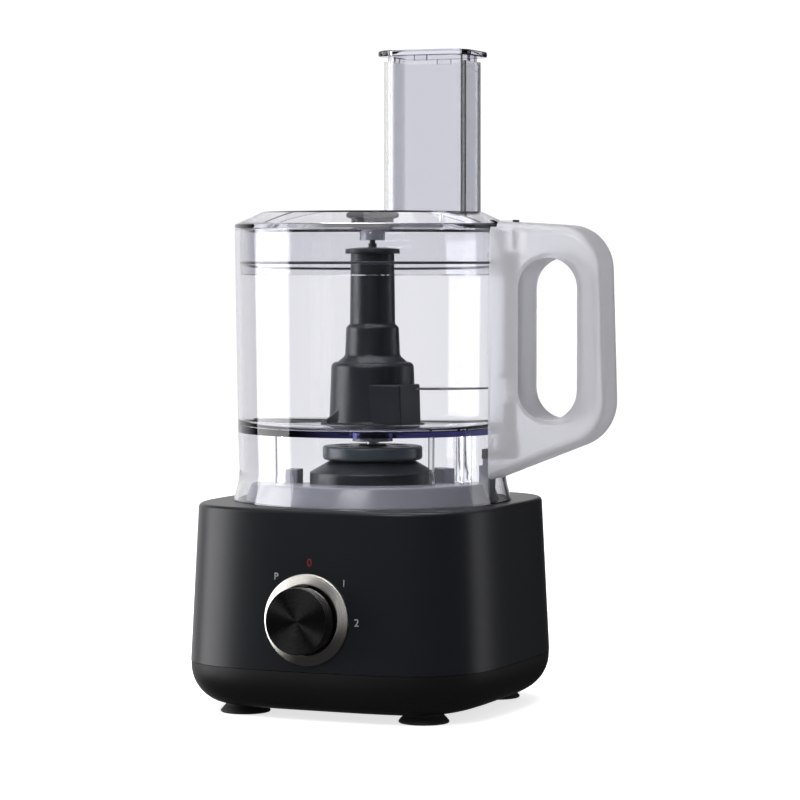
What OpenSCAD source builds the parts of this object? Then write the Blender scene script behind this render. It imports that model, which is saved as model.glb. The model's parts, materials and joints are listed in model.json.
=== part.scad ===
// Food processor: a rounded-square motor base with a rotary dial, a clear bowl with a hollow
// handle, a chopping tool on a tall hub, and a lid with a feed chute and a pusher.
// The drive axis is Z, the dial faces -Y, the handle points along +X, the feet stand on z = 0.

/* [Base] */
// Half width of the housing at its bottom seam
base_half = 98.5; // [95:0.5:101]
// Half width of the housing at the deck
deck_half = 94; // [91:1:97]
// Height of the deck that the bowl stands on
deck_z = 127; // [126:0.5:128]
// Height of the seam between the housing and the lower shell
seam_z = 31.5; // [28:0.5:34]
// Power of the superellipse that the base is drawn with; more is squarer
base_power = 3.7; // [3.2:0.1:4.5]
// Wall thickness of the base mouldings
base_wall = 2.6; // [2.2:0.1:3]
// Distance of each foot from the axis, along X and along Y
foot_at = 58.7; // [56:0.1:60]
// Radius of the suction rim of a foot
foot_r = 15.2; // [14:0.1:17]

/* [Dial] */
// Height of the dial's centre
dial_z = 62.3; // [58:0.1:68]
// Outer radius of the bezel ring
bezel_r = 27.25; // [26:0.25:30]
// Radius of the knob
knob_r = 19.75; // [18:0.25:20.5]
// How far the knob stands out of the front wall
knob_out = 15.5; // [13:0.5:17]

/* [Drive] */
// Distance from the drive axis back to the motor axis
motor_y = 60; // [58:0.5:61]
// Radius of the large pulley at the bottom of the spindle
big_pulley_r = 40; // [36:1:42]
// Radius of the small pulley on the motor
small_pulley_r = 8; // [7:0.5:9]
// Radius of the drive spindle
spindle_r = 4; // [3.5:0.25:4]

/* [Bowl] */
// Outer radius of the bowl at its rim
rim_r = 84.6; // [84.4:0.1:84.8]
// Height of the bowl's rim
rim_z = 293; // [292:0.5:293]
// Height of the bowl's floor, inside
floor_z = 172; // [171.8:0.1:172.2]
// Wall thickness of the bowl
bowl_wall = 2.6; // [2.2:0.1:2.6]

/* [Lid and chute] */
// Height of the lid's flat top
lid_z = 303.5; // [302:0.5:306]
// Height of the chute's mouth
chute_z = 394; // [380:1:400]
// Outer size of the chute along X
chute_x = 53; // [52:0.5:54]
// Outer size of the chute along Y
chute_y = 41; // [40:0.5:46]
// Distance from the drive axis to the middle of the chute
chute_at = 40; // [39:0.5:41]

/* [Hidden] */
$fn = 96;

slip = 0.05;                        // radial running clearance of a shaft in its bush
gap = 0.3;                          // clearance between pieces that move past each other
deck_t = base_wall;
// the front wall leans back, and the dial stands square to it
dial_tilt = atan((base_half - deck_half) / (deck_z - seam_z));
front_y = -(base_half - (base_half - deck_half) * (dial_z - seam_z) / (deck_z - seam_z));
post_x = 66;                        // the four housing posts that the motor frame hangs from
post_y = 36;
seat_r = 78;                        // plateau that centres the bowl, at the deck
seat_top_r = 74;
seat_z = 139;
seat_hole_r = 68;
frame_z = 40;                       // underside of the motor frame plate
frame_t = 3;
post_bottom = frame_z + frame_t;
pulley_z = 22;
pulley_h = 12;
belt_t = 2.2;
bowl_in_r = rim_r - bowl_wall;
tube_r = 13;                        // tube in the middle of the bowl
tube_top = 212;
bush_r = 10;
rod_x = 91;                         // interlock rod in the handle's root
rod_top = 279;
foot_z = 154;                       // underside of the interlock rod
plunger_x = 74.8;
seal_z = 272.5;
blade_t = 1.2;

function arc(x, y, r, a0, a1, n = 10) =
    [for (i = [0:n]) let (a = a0 + (a1 - a0) * i / n) [x + r * cos(a), y + r * sin(a)]];
function curve(a, b, c, n = 12) =
    [for (i = [0:n]) let (t = i / n) (1 - t) * (1 - t) * a + 2 * t * (1 - t) * b + t * t * c];
function rounded(x, y, r) = concat(
    arc(x / 2 - r, y / 2 - r, r, 0, 90), arc(r - x / 2, y / 2 - r, r, 90, 180),
    arc(r - x / 2, r - y / 2, r, 180, 270), arc(x / 2 - r, r - y / 2, r, 270, 360));
function side(v) = sign(v) * pow(abs(v), 2 / base_power);
function squircle(a, n = 72) =
    [for (i = [0:n - 1]) let (t = 360 * (i + 0.5) / n) [a * side(cos(t)), a * side(sin(t))]];
function half_at(z) = base_half - (base_half - deck_half) * (z - seam_z) / (deck_z - seam_z);
// Outline of the handle in X and Z, drawn k inside its true edge
function handle_outline(k) = concat(
    [[80, 297.8 - k]], arc(130.6, 272.8, 22 - k, 85.7, 2.2), arc(130.4, 187.5, 25 - k, 2.2, -68.8),
    [[80, 141 + 1.07 * k]]);
function finger_outline(k) = concat(
    arc(120.4, 256.75, 18.75 + k, 180, 0), arc(120.4, 197.25, 18.75 + k, 0, -180));

module slice(a, z) {
    translate([0, 0, z]) linear_extrude(0.01) polygon(squircle(a));
}
module along_y(y0, y1) {
    translate([0, y1, 0]) rotate([90, 0, 0]) linear_extrude(y1 - y0) children();
}
module box(x0, y0, z0, x1, y1, z1) {
    translate([x0, y0, z0]) cube([x1 - x0, y1 - y0, z1 - z0]);
}
module ring(r_out, r_in, z0, z1) {
    translate([0, 0, z0]) difference() {
        cylinder(r = r_out, h = z1 - z0);
        translate([0, 0, -1]) cylinder(r = r_in, h = z1 - z0 + 2);
    }
}
module at_motor() {
    translate([0, motor_y, 0]) children();
}
module at_dial() {
    translate([0, front_y, dial_z]) rotate([90 - dial_tilt, 0, 0]) children();
}
module at_posts() {
    for (x = [-post_x, post_x], y = [-post_y, post_y]) translate([x, y, 0]) children();
}
module at_feet() {
    for (x = [-foot_at, foot_at], y = [-foot_at, foot_at]) translate([x, y, 0]) children();
}
// A coil spring shown as closely spaced wire rings joined by a thin inner sleeve
module coil(r, wire, z0, z1, turns) {
    for (i = [0:turns - 1])
        translate([0, 0, z0 + wire + (z1 - z0 - 2 * wire) * i / (turns - 1)])
            rotate_extrude($fn = 32) translate([r, 0]) circle(r = wire, $fn = 16);
    ring(r + wire / 4, r - wire / 4, z0 + wire, z1 - wire);
}
module housing_solid(inset, z0, z1) {
    hull() {
        slice(half_at(z0) - inset, z0);
        slice(half_at(z1 - 6) - inset, z1 - 6);
        slice(half_at(z1 - 3.4) - inset - 0.5, z1 - 3.4);
        slice(half_at(z1 - 1.3) - inset - 1.8, z1 - 1.3);
        slice(half_at(z1) - inset - 4, z1 - 0.01);
    }
}
module tray_solid(inset, z0) {
    top = seam_z - gap;
    drop = top - z0;
    hull() for (a = [0:15:90])
        slice(base_half - 25 + (24 - inset) * cos(a), top - drop * sin(a));
}
module handle_solid(inset) {
    hull() {
        along_y(-10.5 + inset / 3, 10.5 - inset / 3) polygon(handle_outline(inset));
        along_y(-14.4 + inset, 14.4 - inset) polygon(handle_outline(inset + 1.8));
        along_y(-16.3 + inset, 16.3 - inset) polygon(handle_outline(inset + 6));
    }
}
module blade(z, angle) {
    translate([0, 0, z]) rotate([0, 0, angle]) linear_extrude(blade_t)
        polygon(concat(curve([15, -11], [54, -17], [73, 8]), curve([73, 8], [46, 5], [15, 11])));
}

module base_shell() {
    color("#2b2d31") difference() {
        union() {
            difference() {
                housing_solid(0, seam_z, deck_z);
                translate([0, 0, -0.1]) housing_solid(base_wall, seam_z, deck_z - deck_t);
            }
            at_posts() translate([0, 0, post_bottom])
                cylinder(r = 5, h = deck_z - 1 - post_bottom);
            // rails that hold the control board
            for (s = [-1, 1]) box(-93, s * 28.5 - 1.5, 56, -66, s * 28.5 + 1.5, 110);
        }
        translate([0, 0, deck_z - 10]) cylinder(r = seat_hole_r, h = 20);
        box(60, -6.4, deck_z - 10, 80.2, 6.4, deck_z + 1);
        at_dial() translate([0, 0, -20]) cylinder(r = 6, h = 40);
        at_dial() translate([0, 0, -0.3]) cylinder(r = bezel_r + 0.1, h = 6);
        translate([-45, base_half - 12, 52]) rotate([-90, 0, 0]) cylinder(r = 7, h = 20);
        at_posts() translate([0, 0, post_bottom - 1]) cylinder(r = 1.9, h = 20);
    }
}
module lower_shell() {
    color("#111214") difference() {
        union() {
            intersection() {
                tray_solid(0, 5.5);
                union() {
                    difference() {
                        box(-110, -110, 0, 110, 110, 60);
                        tray_solid(base_wall, 5.5 + base_wall);
                    }
                    at_feet() cylinder(r = 14, h = 18);
                }
            }
            at_posts() translate([0, 0, 6]) cylinder(r = 6, h = frame_z - 6.1);
        }
        at_feet() translate([0, 0, -1]) cylinder(r = 11.7, h = 16);
        at_posts() translate([0, 0, -1]) cylinder(r = 2.1, h = 60);
        at_posts() translate([0, 0, -1]) cylinder(r = 4.2, h = 11);
        for (i = [-4:4]) box(i * 9 - 1.6, -28, 0, i * 9 + 1.6, 28, 10);
    }
}
module base_feet() {
    color("#151515") at_feet() rotate_extrude()
        polygon([[0, 0.9], [10, 0.6], [foot_r - 2, 0], [foot_r, 0], [foot_r, 2.6], [12.2, 4.2],
            [11.6, 5.5], [11.6, 14.9], [0, 14.9]]);
}
module base_screws() {
    color("silver") at_posts() difference() {
        union() {
            translate([0, 0, 7.4]) cylinder(r = 3.9, h = 2.5);
            translate([0, 0, 9]) cylinder(r = 1.9, h = 50);
        }
        box(-2.6, -0.5, 7, 2.6, 0.5, 8.6);
        box(-0.5, -2.6, 7, 0.5, 2.6, 8.6);
    }
}
module bowl_seat() {
    color("#6d7076") difference() {
        union() {
            rotate_extrude() polygon([
                [seat_r, deck_z], [seat_top_r, seat_z], [34, seat_z], [34, seat_z - 2.5],
                [seat_top_r - 2.4, seat_z - 2.5], [seat_top_r - 0.4, deck_z + 2.5],
                [seat_hole_r - 2.6, deck_z + 2.5], [seat_hole_r - 2.6, deck_z - 2.6],
                [seat_hole_r - 0.3, deck_z - 2.6], [seat_hole_r - 0.3, deck_z]]);
            for (a = [50, 122, 190]) rotate([0, 0, a])
                box(46, -7, seat_z - 1, 54, 7, seat_z + 7);
            box(71.4, -5.2, deck_z + 3, 78.4, 5.2, seat_z + 11);
        }
        box(plunger_x - 2, -3.2, deck_z - 10, plunger_x + 2, 3.2, seat_z + 20);
    }
}
module spindle_tower() {
    color("#3c3f45") rotate_extrude() polygon([
        [38.6, seat_z], [38.6, 145], [36.5, 146], [25.4, 151.6], [9.6, 151.6], [9.6, 146],
        [23, 146], [34, 141.4], [34, seat_z]]);
}
module spindle_seal() {
    color("#1d1d1f") rotate_extrude() polygon([
        [spindle_r + slip, 146.4], [9.55, 146.4], [9.55, 150.6], [8.2, 151.4],
        [7.6, 151.4], [7.6, 148.4], [spindle_r + 1.4, 148.4], [spindle_r + slip, 151]]);
}
module knob_bezel() {
    color("#b9b7b2") at_dial() rotate_extrude() polygon([
        [20.8, 0.3], [20.8, 3.1], [21.2, 3.4], [bezel_r - 0.6, 1.4], [bezel_r, 0.9],
        [bezel_r, -0.2], [24, 0.3]]);
}
module rotary_switch() {
    color("#20242a") at_dial() {
        ring(5.6, 3 + slip, -base_wall - 14, -0.5);
        difference() {
            translate([-15, -13, -base_wall - 24]) cube([30, 26, 20]);
            translate([0, 0, -30]) cylinder(r = 3 + slip, h = 40);
        }
    }
    color("#c9a24a") at_dial() for (x = [-10, 0, 10])
        translate([x - 2, -18, -base_wall - 24.9]) cube([4, 12, 0.9]);
}
module motor_frame() {
    color("#9aa0a6") difference() {
        union() {
            translate([0, 0, frame_z]) linear_extrude(frame_t) polygon(rounded(146, 86, 9));
            box(-34, 30, frame_z, 34, motor_y + 26, frame_z + frame_t);
            translate([0, 0, frame_z]) cylinder(r = 14, h = 56);
            for (a = [0, 90, 180]) rotate([0, 0, a + 45]) box(12, -1.5, frame_z + 1, 34, 1.5, 60);
        }
        translate([0, 0, 20]) cylinder(r = 8, h = 80);
        translate([0, 0, 30]) cylinder(r = 9.5, h = 20);
        translate([0, 0, 88]) cylinder(r = 9.5, h = 20);
        at_motor() translate([0, 0, frame_z - 1]) cylinder(r = 13, h = 6);
        at_posts() translate([0, 0, frame_z - 1]) cylinder(r = 2, h = 6);
        for (x = [-24, 24], y = [-22, 22]) translate([x, motor_y + y, frame_z - 1])
            cylinder(r = 2, h = 6);
    }
}
module spindle_bearings() {
    color("silver") for (z = [43, 88]) {
        ring(9.5, 7.9, z, z + 7);
        ring(5.6, spindle_r + slip, z, z + 7);
        ring(7.95, 5.55, z + 1.5, z + 5.5);
    }
}
module bracket_plate(z, t, hole) {
    difference() {
        translate([0, 0, z]) linear_extrude(t) polygon(rounded(56, 52, 8));
        translate([0, 0, z - 1]) cylinder(r = hole, h = t + 2);
        for (x = [-24, 24], y = [-22, 22]) translate([x, y, z - 1]) cylinder(r = 2, h = t + 2);
    }
}
module motor_lower_bracket() {
    color("#8f959b") at_motor() {
        bracket_plate(43.1, 2.4, 8);
        ring(10, 8, 43.1, 50);
        for (x = [-24, 24], y = [-22, 22]) translate([x, y, 0]) ring(4, 2, 45.4, 60);
    }
}
module motor_upper_bracket() {
    color("#8f959b") at_motor() {
        bracket_plate(112, 2.4, 8);
        ring(10, 8, 112, 119);
        for (x = [-24, 24], y = [-22, 22]) translate([x, y, 0]) ring(4, 2, 98, 112.1);
    }
}
module motor_bearings() {
    color("silver") at_motor() for (z = [43.2, 112.2]) {
        ring(8, 6.4, z, z + 6);
        ring(4.6, 3 + slip, z, z + 6);
        ring(6.45, 4.55, z + 1.2, z + 4.8);
    }
}
module motor_bolts() {
    color("silver") at_motor() for (x = [-24, 24], y = [-22, 22]) translate([x, y, 0]) {
        translate([0, 0, 37.5]) cylinder(r = 3.4, h = 2.4);
        translate([0, 0, 39.8]) cylinder(r = 1.9, h = 75);
        translate([0, 0, 114.5]) cylinder(r = 3.4, h = 2.4);
    }
}
module stator_core() {
    color("#6f6a63") at_motor() difference() {
        translate([0, 0, 60]) linear_extrude(38) polygon(rounded(56, 52, 8));
        translate([0, 0, 59]) cylinder(r = 17, h = 40);
        for (s = [-1, 1]) scale([s, 1, 1]) box(15, -14, 59, 23, 14, 99);
        for (x = [-24, 24], y = [-22, 22]) translate([x, y, 59]) cylinder(r = 2, h = 40);
    }
}
module field_coils() {
    color("#b5652d") at_motor() for (s = [0, 180]) rotate([0, 0, s]) difference() {
        translate([17.6, -13.6, 56.2]) cube([5, 27.2, 45.6]);
        translate([17, -9, 62]) cube([6.4, 18, 34]);
    }
}
module brush_holders() {
    color("#c9a24a") at_motor() for (s = [0, 180]) rotate([0, 0, s + 90]) difference() {
        translate([11, -3.4, 101.8]) cube([15, 6.8, 6.8]);
        translate([10, -2.6, 102.6]) cube([20, 5.2, 5.2]);
    }
}
module carbon_brushes() {
    color("#232323") at_motor() for (s = [0, 180]) rotate([0, 0, s + 90])
        translate([10.3, -2.5, 102.7]) cube([12, 5, 5]);
}
module belt_loop(grow) {
    hull() {
        circle(r = big_pulley_r + grow);
        translate([0, motor_y]) circle(r = small_pulley_r + grow);
    }
}
module drive_belt() {
    color("#141414") translate([0, 0, pulley_z + 1.4]) linear_extrude(pulley_h - 2.8)
        difference() {
            belt_loop(0.12 + belt_t);
            belt_loop(0.12);
        }
}
module interlock_switch() {
    color("#30343a") box(66, -9, 90, 84, 9, 104);
    color("#b04030") box(plunger_x - 1.5, -1.5, 104, plunger_x + 1.5, 1.5, 106.8);
    color("#c9a24a") for (y = [-6, 0, 6]) box(67, y - 1.4, 83, 68, y + 1.4, 90);
}
module plunger_spring() {
    color("silver") translate([plunger_x, 0, 0]) coil(4.6, 0.5, 104.05, 112.8, 6);
}
module interlock_plunger() {
    color("#8b8e93") union() {
        box(plunger_x - 1.8, -3, 107.2, plunger_x + 1.8, 3, foot_z - gap);
        box(plunger_x - 5.2, -5.2, 113, plunger_x + 5.2, 5.2, 115);
    }
}
module control_board() {
    color("#2f6b3a") box(-70, -27, 60, -68.4, 27, 108);
    color("#d9b23a") box(-68.4, -22, 70, -58, 2, 86);
    color("#222222") for (z = [92, 100]) box(-68.4, -16, z, -60, 2, z + 5);
}
module cord_gland() {
    y1 = half_at(52) + 3;
    color("#17181a") translate([-45, 0, 52]) rotate([-90, 0, 0]) {
        ring(6.9, 3.6, y1 - 14, y1);
        ring(9.5, 3.6, y1 - 1.8, y1);
        ring(9.5, 3.6, y1 - 14, y1 - 10);
    }
}
module knob() {
    color("#26272a") at_dial() {
        difference() {
            translate([0, 0, 3.8]) cylinder(r = knob_r - 0.9, h = knob_out - 4.6);
            translate([0, 0, 3]) ring(knob_r - 2.9, 5.5, 0, knob_out - 5.5);
            translate([0, 0, 3]) cylinder(r = 3, h = knob_out - 5);
        }
    }
}
module knob_cap() {
    color("#4a4a4c") at_dial() rotate_extrude() polygon([
        [0, knob_out], [knob_r - 0.6, knob_out], [knob_r, knob_out - 0.6], [knob_r, 3.7],
        [knob_r - 0.8, 3.7], [knob_r - 0.8, knob_out - 0.8], [0, knob_out - 0.8]]);
}
module knob_pointer() {
    color("#101010") at_dial() translate([-2.6, 0, 3.9]) intersection() {
        translate([0, knob_r - 1, 0]) cube([5.2, 2.2, 3.4]);
        translate([2.6, 0, 0]) difference() {
            cylinder(r = knob_r + 0.9, h = 3.4);
            translate([0, 0, -1]) cylinder(r = knob_r, h = 6);
        }
    }
}
module switch_shaft() {
    color("#c8ccd0") at_dial() translate([0, 0, -22]) cylinder(r = 3, h = 22 + knob_out - 2.1);
}
module motor_shaft() {
    color("silver") at_motor() translate([0, 0, 20]) cylinder(r = 3, h = 101);
}
module armature_core() {
    color("#77726a") at_motor() difference() {
        ring(16.4, 3, 62, 96);
        for (a = [0:30:359]) rotate([0, 0, a]) box(10, -1.6, 61, 15.4, 1.6, 97);
    }
}
module armature_windings() {
    color("#c2703a") at_motor() {
        ring(14.6, 3, 56.4, 62);
        ring(14.6, 3, 96, 100);
        for (a = [0:30:359]) rotate([0, 0, a]) box(10.2, -1.5, 62, 15.2, 1.5, 96);
    }
}
module commutator() {
    color("#b87333") at_motor() difference() {
        ring(10, 3, 100.2, 110);
        for (a = [0:30:359]) rotate([0, 0, a]) box(9, -0.3, 102, 11, 0.3, 111);
    }
}
module cooling_fan() {
    color("#24262b") at_motor() {
        ring(5, 3, 50.4, 55);
        ring(23, 4.5, 54, 55);
        for (a = [0:36:359]) rotate([0, 0, a]) box(8, -0.6, 50.6, 21.5, 0.6, 54.1);
    }
}
module pulley(r, bore) {
    rotate_extrude() polygon([
        [bore, pulley_z], [r + 1.6, pulley_z], [r + 1.6, pulley_z + 0.9], [r, pulley_z + 1.2],
        [r, pulley_z + pulley_h - 1.2], [r + 1.6, pulley_z + pulley_h - 0.9],
        [r + 1.6, pulley_z + pulley_h], [bore, pulley_z + pulley_h]]);
}
module motor_pulley() {
    color("#a8adb2") at_motor() pulley(small_pulley_r, 3);
}
module drive_pulley() {
    color("#2a2c30") difference() {
        pulley(big_pulley_r, spindle_r);
        for (z = [pulley_z - 1, pulley_z + pulley_h - 3])
            ring(big_pulley_r - 4, 10, z, z + 4);
        for (a = [0:60:359]) rotate([0, 0, a]) translate([23, 0, pulley_z - 1])
            cylinder(r = 7, h = pulley_h + 2);
    }
}
module drive_spindle() {
    color("silver") {
        translate([0, 0, pulley_z - 2]) cylinder(r = spindle_r, h = 213 - pulley_z + 2);
        translate([0, 0, 213]) cylinder(r = spindle_r, h = 15, $fn = 6);
    }
}
module drive_coupling() {
    color("#45484f") difference() {
        rotate_extrude() polygon([
            [spindle_r, 152.2], [28.6, 152.2], [30.2, 153.2], [30.7, 154.4], [30.7, 158.2],
            [28.8, 160.5], [9, 160.5], [8, 161.6], [spindle_r, 161.6]]);
        for (a = [0:60:359]) rotate([0, 0, a]) translate([20, 0, 157.5]) cylinder(r = 5, h = 6);
    }
}
module bowl_bush() {
    color("#8d9096") rotate_extrude() polygon([
        [spindle_r + slip, 163.2], [12.4, 163.2], [12.4, 165.4], [bush_r, 165.4],
        [bush_r, tube_top + 0.6], [spindle_r + slip, tube_top + 0.6]]);
}
module bowl() {
    tube_in = bush_r + slip;
    color("#cfd3e6", 0.35) difference() {
        union() {
            rotate_extrude($fn = 128) polygon([
                [85.6, deck_z + gap], [84.4, 132], [82.6, 139], [82, 144.5], [82.8, 167],
                [rim_r, rim_z - 1], [rim_r - 0.5, rim_z], [bowl_in_r, rim_z],
                [bowl_in_r - 1.4, floor_z + 6], [bowl_in_r - 2.4, floor_z + 2.6],
                [bowl_in_r - 5.4, floor_z], [tube_r + 0.6, floor_z], [tube_r, floor_z + 2],
                [tube_r - 0.4, tube_top], [tube_in, tube_top], [tube_in, 165.7],
                [14.6, 165.7], [14.6, 168.8], [79.4, 168.8], [79.2, 147], [79.6, 144.5],
                [80.4, 139], [82.2, 132], [83.4, deck_z + gap]]);
            for (a = [64, 69, -20, -25, -40, -112, 165]) rotate([0, 0, a])
                box(75, -0.9, 141, 79.8, 0.9, 169);
        }
        box(76, -5.6, 153.2, 90, 5.6, 166);
    }
}
module handle_box(front) {
    difference() {
        union() {
            difference() {
                handle_solid(0);
                handle_solid(2.8);
            }
            intersection() {
                handle_solid(0);
                along_y(-20, 20) polygon(finger_outline(2.8));
            }
            intersection() {
                handle_solid(0);
                union() {
                    box(80, -14, 186, 100, 14, 188);
                    box(80, -14, 250, 100, 14, 252);
                }
            }
        }
        along_y(-20, 20) polygon(finger_outline(0));
        // the bowl's own wall
        translate([0, 0, 130]) cylinder(r = 82.9, h = 38);
        translate([0, 0, 134]) cylinder(r1 = 84.3, r2 = 82.9, h = 9);
        translate([0, 0, 167]) cylinder(r1 = 82.83, r2 = rim_r + 0.1, h = rim_z - 165.9);
        translate([0, 0, rim_z - 1]) cylinder(r = rim_r + 0.6, h = 10);
        // way in for the lid's locking finger, open upwards and to the back
        box(80, -6.1, rod_top + 0.9, 95.6, 20, 300);
        box(80, -20, rim_z + 1, 87.6, 20, 300);
        // rod passage through the two guides
        box(rod_x - 3.6, -3.2, 180, rod_x + 3.6, 3.2, 256);
        if (front) box(70, 11.6, 140, 160, 20, 310);
        if (!front) box(70, -20, 140, 160, 11.7, 310);
    }
}
module handle() {
    color("#dcdce4", 0.6) handle_box(true);
}
module handle_cover() {
    color("#dcdce4", 0.6) handle_box(false);
}
module rod_spring() {
    color("silver") translate([rod_x, 0, 0]) coil(4.7, 0.45, 188.1, 203, 8);
}
module interlock_rod() {
    color("#4a4d52") difference() {
        union() {
            box(rod_x - 3.2, -2.8, foot_z + 4, rod_x + 3.2, 2.8, 266);
            box(rod_x - 4.25, -4.2, 265, rod_x + 4.25, 4.2, rod_top);
            box(86.2, -4.6, foot_z, rod_x + 4, 4.6, foot_z + 15);
            box(plunger_x - 1.8, -4.6, foot_z, 88, 4.6, foot_z + 6);
            box(rod_x - 5.2, -5.2, 203.1, rod_x + 5.2, 5.2, 205);
        }
        translate([0, 0, foot_z + 6.05]) ring(86.1, 70, 0, 20);
    }
}
module tool_hub() {
    color("#2b2f35") difference() {
        union() {
            rotate_extrude() polygon([
                [0, 282.5], [16.6, 282.5], [17.2, 281.9], [17, 280.4], [13.4, 278.6], [13.9, 235],
                [15.6, 233.4], [16.3, 231.6], [16.9, 215.6], [18, 214.4], [22.6, 211.6],
                [24, 209], [26.6, 175.6], [32, 174.2], [32, floor_z + 0.4], [0, floor_z + 0.4]]);
            rotate([0, 0, -3]) along_y(-24, 4.5)
                polygon([[-20, 174], [-20, 177], [6.7, 198.5], [30.2, 198.5], [31, 174]]);
        }
        translate([0, 0, 160]) cylinder(r = tube_r + 1, h = tube_top + 1.4 - 160);
        translate([0, 0, 200]) cylinder(r = spindle_r + 0.3, h = 31, $fn = 6);
        translate([0, 0, 236]) cylinder(r = 10.4, h = 43);
        blade(195, 16);
        blade(175.6, 196);
    }
}
module upper_blade() {
    color("silver") difference() {
        blade(195, 16);
        cylinder(r = tube_r + 1, h = 220);
    }
}
module lower_blade() {
    color("silver") difference() {
        blade(175.6, 196);
        cylinder(r = tube_r + 1, h = 220);
    }
}
module tool_pin() {
    color("#1c1e21") union() {
        translate([0, 0, 282.5]) cylinder(r = 2.6, h = 2.4);
        translate([0, 0, 282.5]) cylinder(r = 1.8, h = 7.5);
    }
}
module lid_seal() {
    color("#34343c") rotate_extrude($fn = 128) polygon([
        [79.95, seal_z - 1.5], [81.4, seal_z - 1.2], [81.4, seal_z + 1.2], [79.95, seal_z + 1.5]]);
}
module lid() {
    color("#cfd3e6", 0.35) difference() {
        union() {
            rotate_extrude($fn = 128) polygon([
                [0, lid_z], [67.4, lid_z], [69, lid_z - 0.4], [83.6, 296.2], [rim_r, 295],
                [rim_r, rim_z + 0.4], [81.2, rim_z + 0.4], [81.2, seal_z + 1.7],
                [79.9, seal_z + 1.7], [79.9, seal_z - 1.7], [81.2, seal_z - 1.7], [81, 265],
                [78.9, 265], [78.7, 292], [67.6, lid_z - 2.4], [0, lid_z - 2.4]]);
            translate([chute_at, 0, 296]) linear_extrude(lid_z - 296)
                polygon(rounded(chute_x, chute_y, 9.5));
            ring(8, 5.2, 286.8, 302);
            box(77, -5.5, rim_z + 1.4, 94.3, 5.5, 298.2);
            box(85.2, -5.5, rod_top + 1.6, 94.3, 5.5, 296);
        }
        translate([chute_at, 0, 280]) linear_extrude(chute_z - 270)
            polygon(rounded(chute_x - 4, chute_y - 4, 7.5));
        translate([0, 0, 286]) cylinder(r = 5.2, h = 15.1);
    }
}
module feed_chute() {
    color("#cfd3e6", 0.35) translate([chute_at, 0, lid_z]) linear_extrude(chute_z - lid_z)
        difference() {
            polygon(rounded(chute_x, chute_y, 9.5));
            polygon(rounded(chute_x - 4, chute_y - 4, 7.5));
        }
}
module lid_bearing() {
    color("#5c5f6a") ring(5.2, 2.2, 287, 301);
}
module pusher() {
    px = chute_x - 4.8;
    py = chute_y - 4.8;
    color("#dfe2ee", 0.4) difference() {
        union() {
            translate([chute_at, 0, 297]) linear_extrude(101) polygon(rounded(px, py, 7.1));
            translate([chute_at, 0, 397]) linear_extrude(3.5) polygon(rounded(60, 49, 13));
            for (s = [-1, 1]) {
                box(chute_at - 4, s * 17 - 3, chute_z + 0.1, chute_at + 4, s * 17 + 3, 398);
                box(chute_at + s * 23 - 3, -4, chute_z + 0.1, chute_at + s * 23 + 3, 4, 398);
            }
        }
        translate([chute_at, 0, 299]) linear_extrude(110) polygon(rounded(px - 3.6, py - 3.6, 5.3));
    }
}

base_shell();
lower_shell();
base_feet();
base_screws();
bowl_seat();
spindle_tower();
spindle_seal();
knob_bezel();
rotary_switch();
motor_frame();
spindle_bearings();
motor_lower_bracket();
motor_upper_bracket();
motor_bearings();
motor_bolts();
stator_core();
field_coils();
brush_holders();
carbon_brushes();
drive_belt();
interlock_switch();
plunger_spring();
control_board();
cord_gland();
knob();
knob_cap();
knob_pointer();
switch_shaft();
motor_shaft();
armature_core();
armature_windings();
commutator();
cooling_fan();
motor_pulley();
drive_pulley();
drive_spindle();
drive_coupling();
interlock_plunger();
bowl_bush();
bowl();
handle();
handle_cover();
rod_spring();
interlock_rod();
tool_hub();
upper_blade();
lower_blade();
tool_pin();
lid_seal();
lid();
feed_chute();
lid_bearing();
pusher();
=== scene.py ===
"""A food processor on a pale floor: motor base, clear bowl, chopping tool, lid and pusher."""

import json
import math

import bmesh
import bpy
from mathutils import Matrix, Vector


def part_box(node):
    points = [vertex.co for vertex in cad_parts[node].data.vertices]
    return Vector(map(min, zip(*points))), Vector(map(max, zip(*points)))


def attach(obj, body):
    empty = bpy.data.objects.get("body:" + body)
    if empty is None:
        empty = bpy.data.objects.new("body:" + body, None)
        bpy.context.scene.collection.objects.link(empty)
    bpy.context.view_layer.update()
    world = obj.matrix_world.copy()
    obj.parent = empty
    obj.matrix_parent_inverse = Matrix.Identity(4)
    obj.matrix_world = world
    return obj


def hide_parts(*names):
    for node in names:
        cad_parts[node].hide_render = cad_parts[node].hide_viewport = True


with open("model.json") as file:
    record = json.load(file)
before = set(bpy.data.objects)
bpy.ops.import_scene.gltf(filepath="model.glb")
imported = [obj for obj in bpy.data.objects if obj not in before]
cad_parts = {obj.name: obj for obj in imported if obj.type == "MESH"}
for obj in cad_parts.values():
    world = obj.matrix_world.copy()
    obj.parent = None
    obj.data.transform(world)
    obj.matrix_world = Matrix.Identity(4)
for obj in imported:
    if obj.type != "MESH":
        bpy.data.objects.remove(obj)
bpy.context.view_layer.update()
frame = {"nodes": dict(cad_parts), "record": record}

# Camera ---------------------------------------------------------------------------------------
# A long lens at the height of the bowl's rim, a little to the right of the front.
camera_turn = math.radians(23)
camera_distance = 1.90
camera_height = 0.2725
aim_height = 0.1880
aim_aside = 0.0169

forward = Vector((-math.sin(camera_turn), math.cos(camera_turn), 0))
sideways = Vector((math.cos(camera_turn), math.sin(camera_turn), 0))
bpy.ops.object.camera_add()
camera = bpy.context.object
camera.name = "camera"
camera.data.sensor_width = 36
camera.data.lens = 139
camera.location = sideways * aim_aside - forward * camera_distance + Vector((0, 0, camera_height))
aim = sideways * aim_aside + Vector((0, 0, aim_height))
camera.rotation_euler = (aim - camera.location).to_track_quat("-Z", "Y").to_euler()
camera.data.clip_start = 0.05
bpy.context.scene.camera = camera


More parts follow.
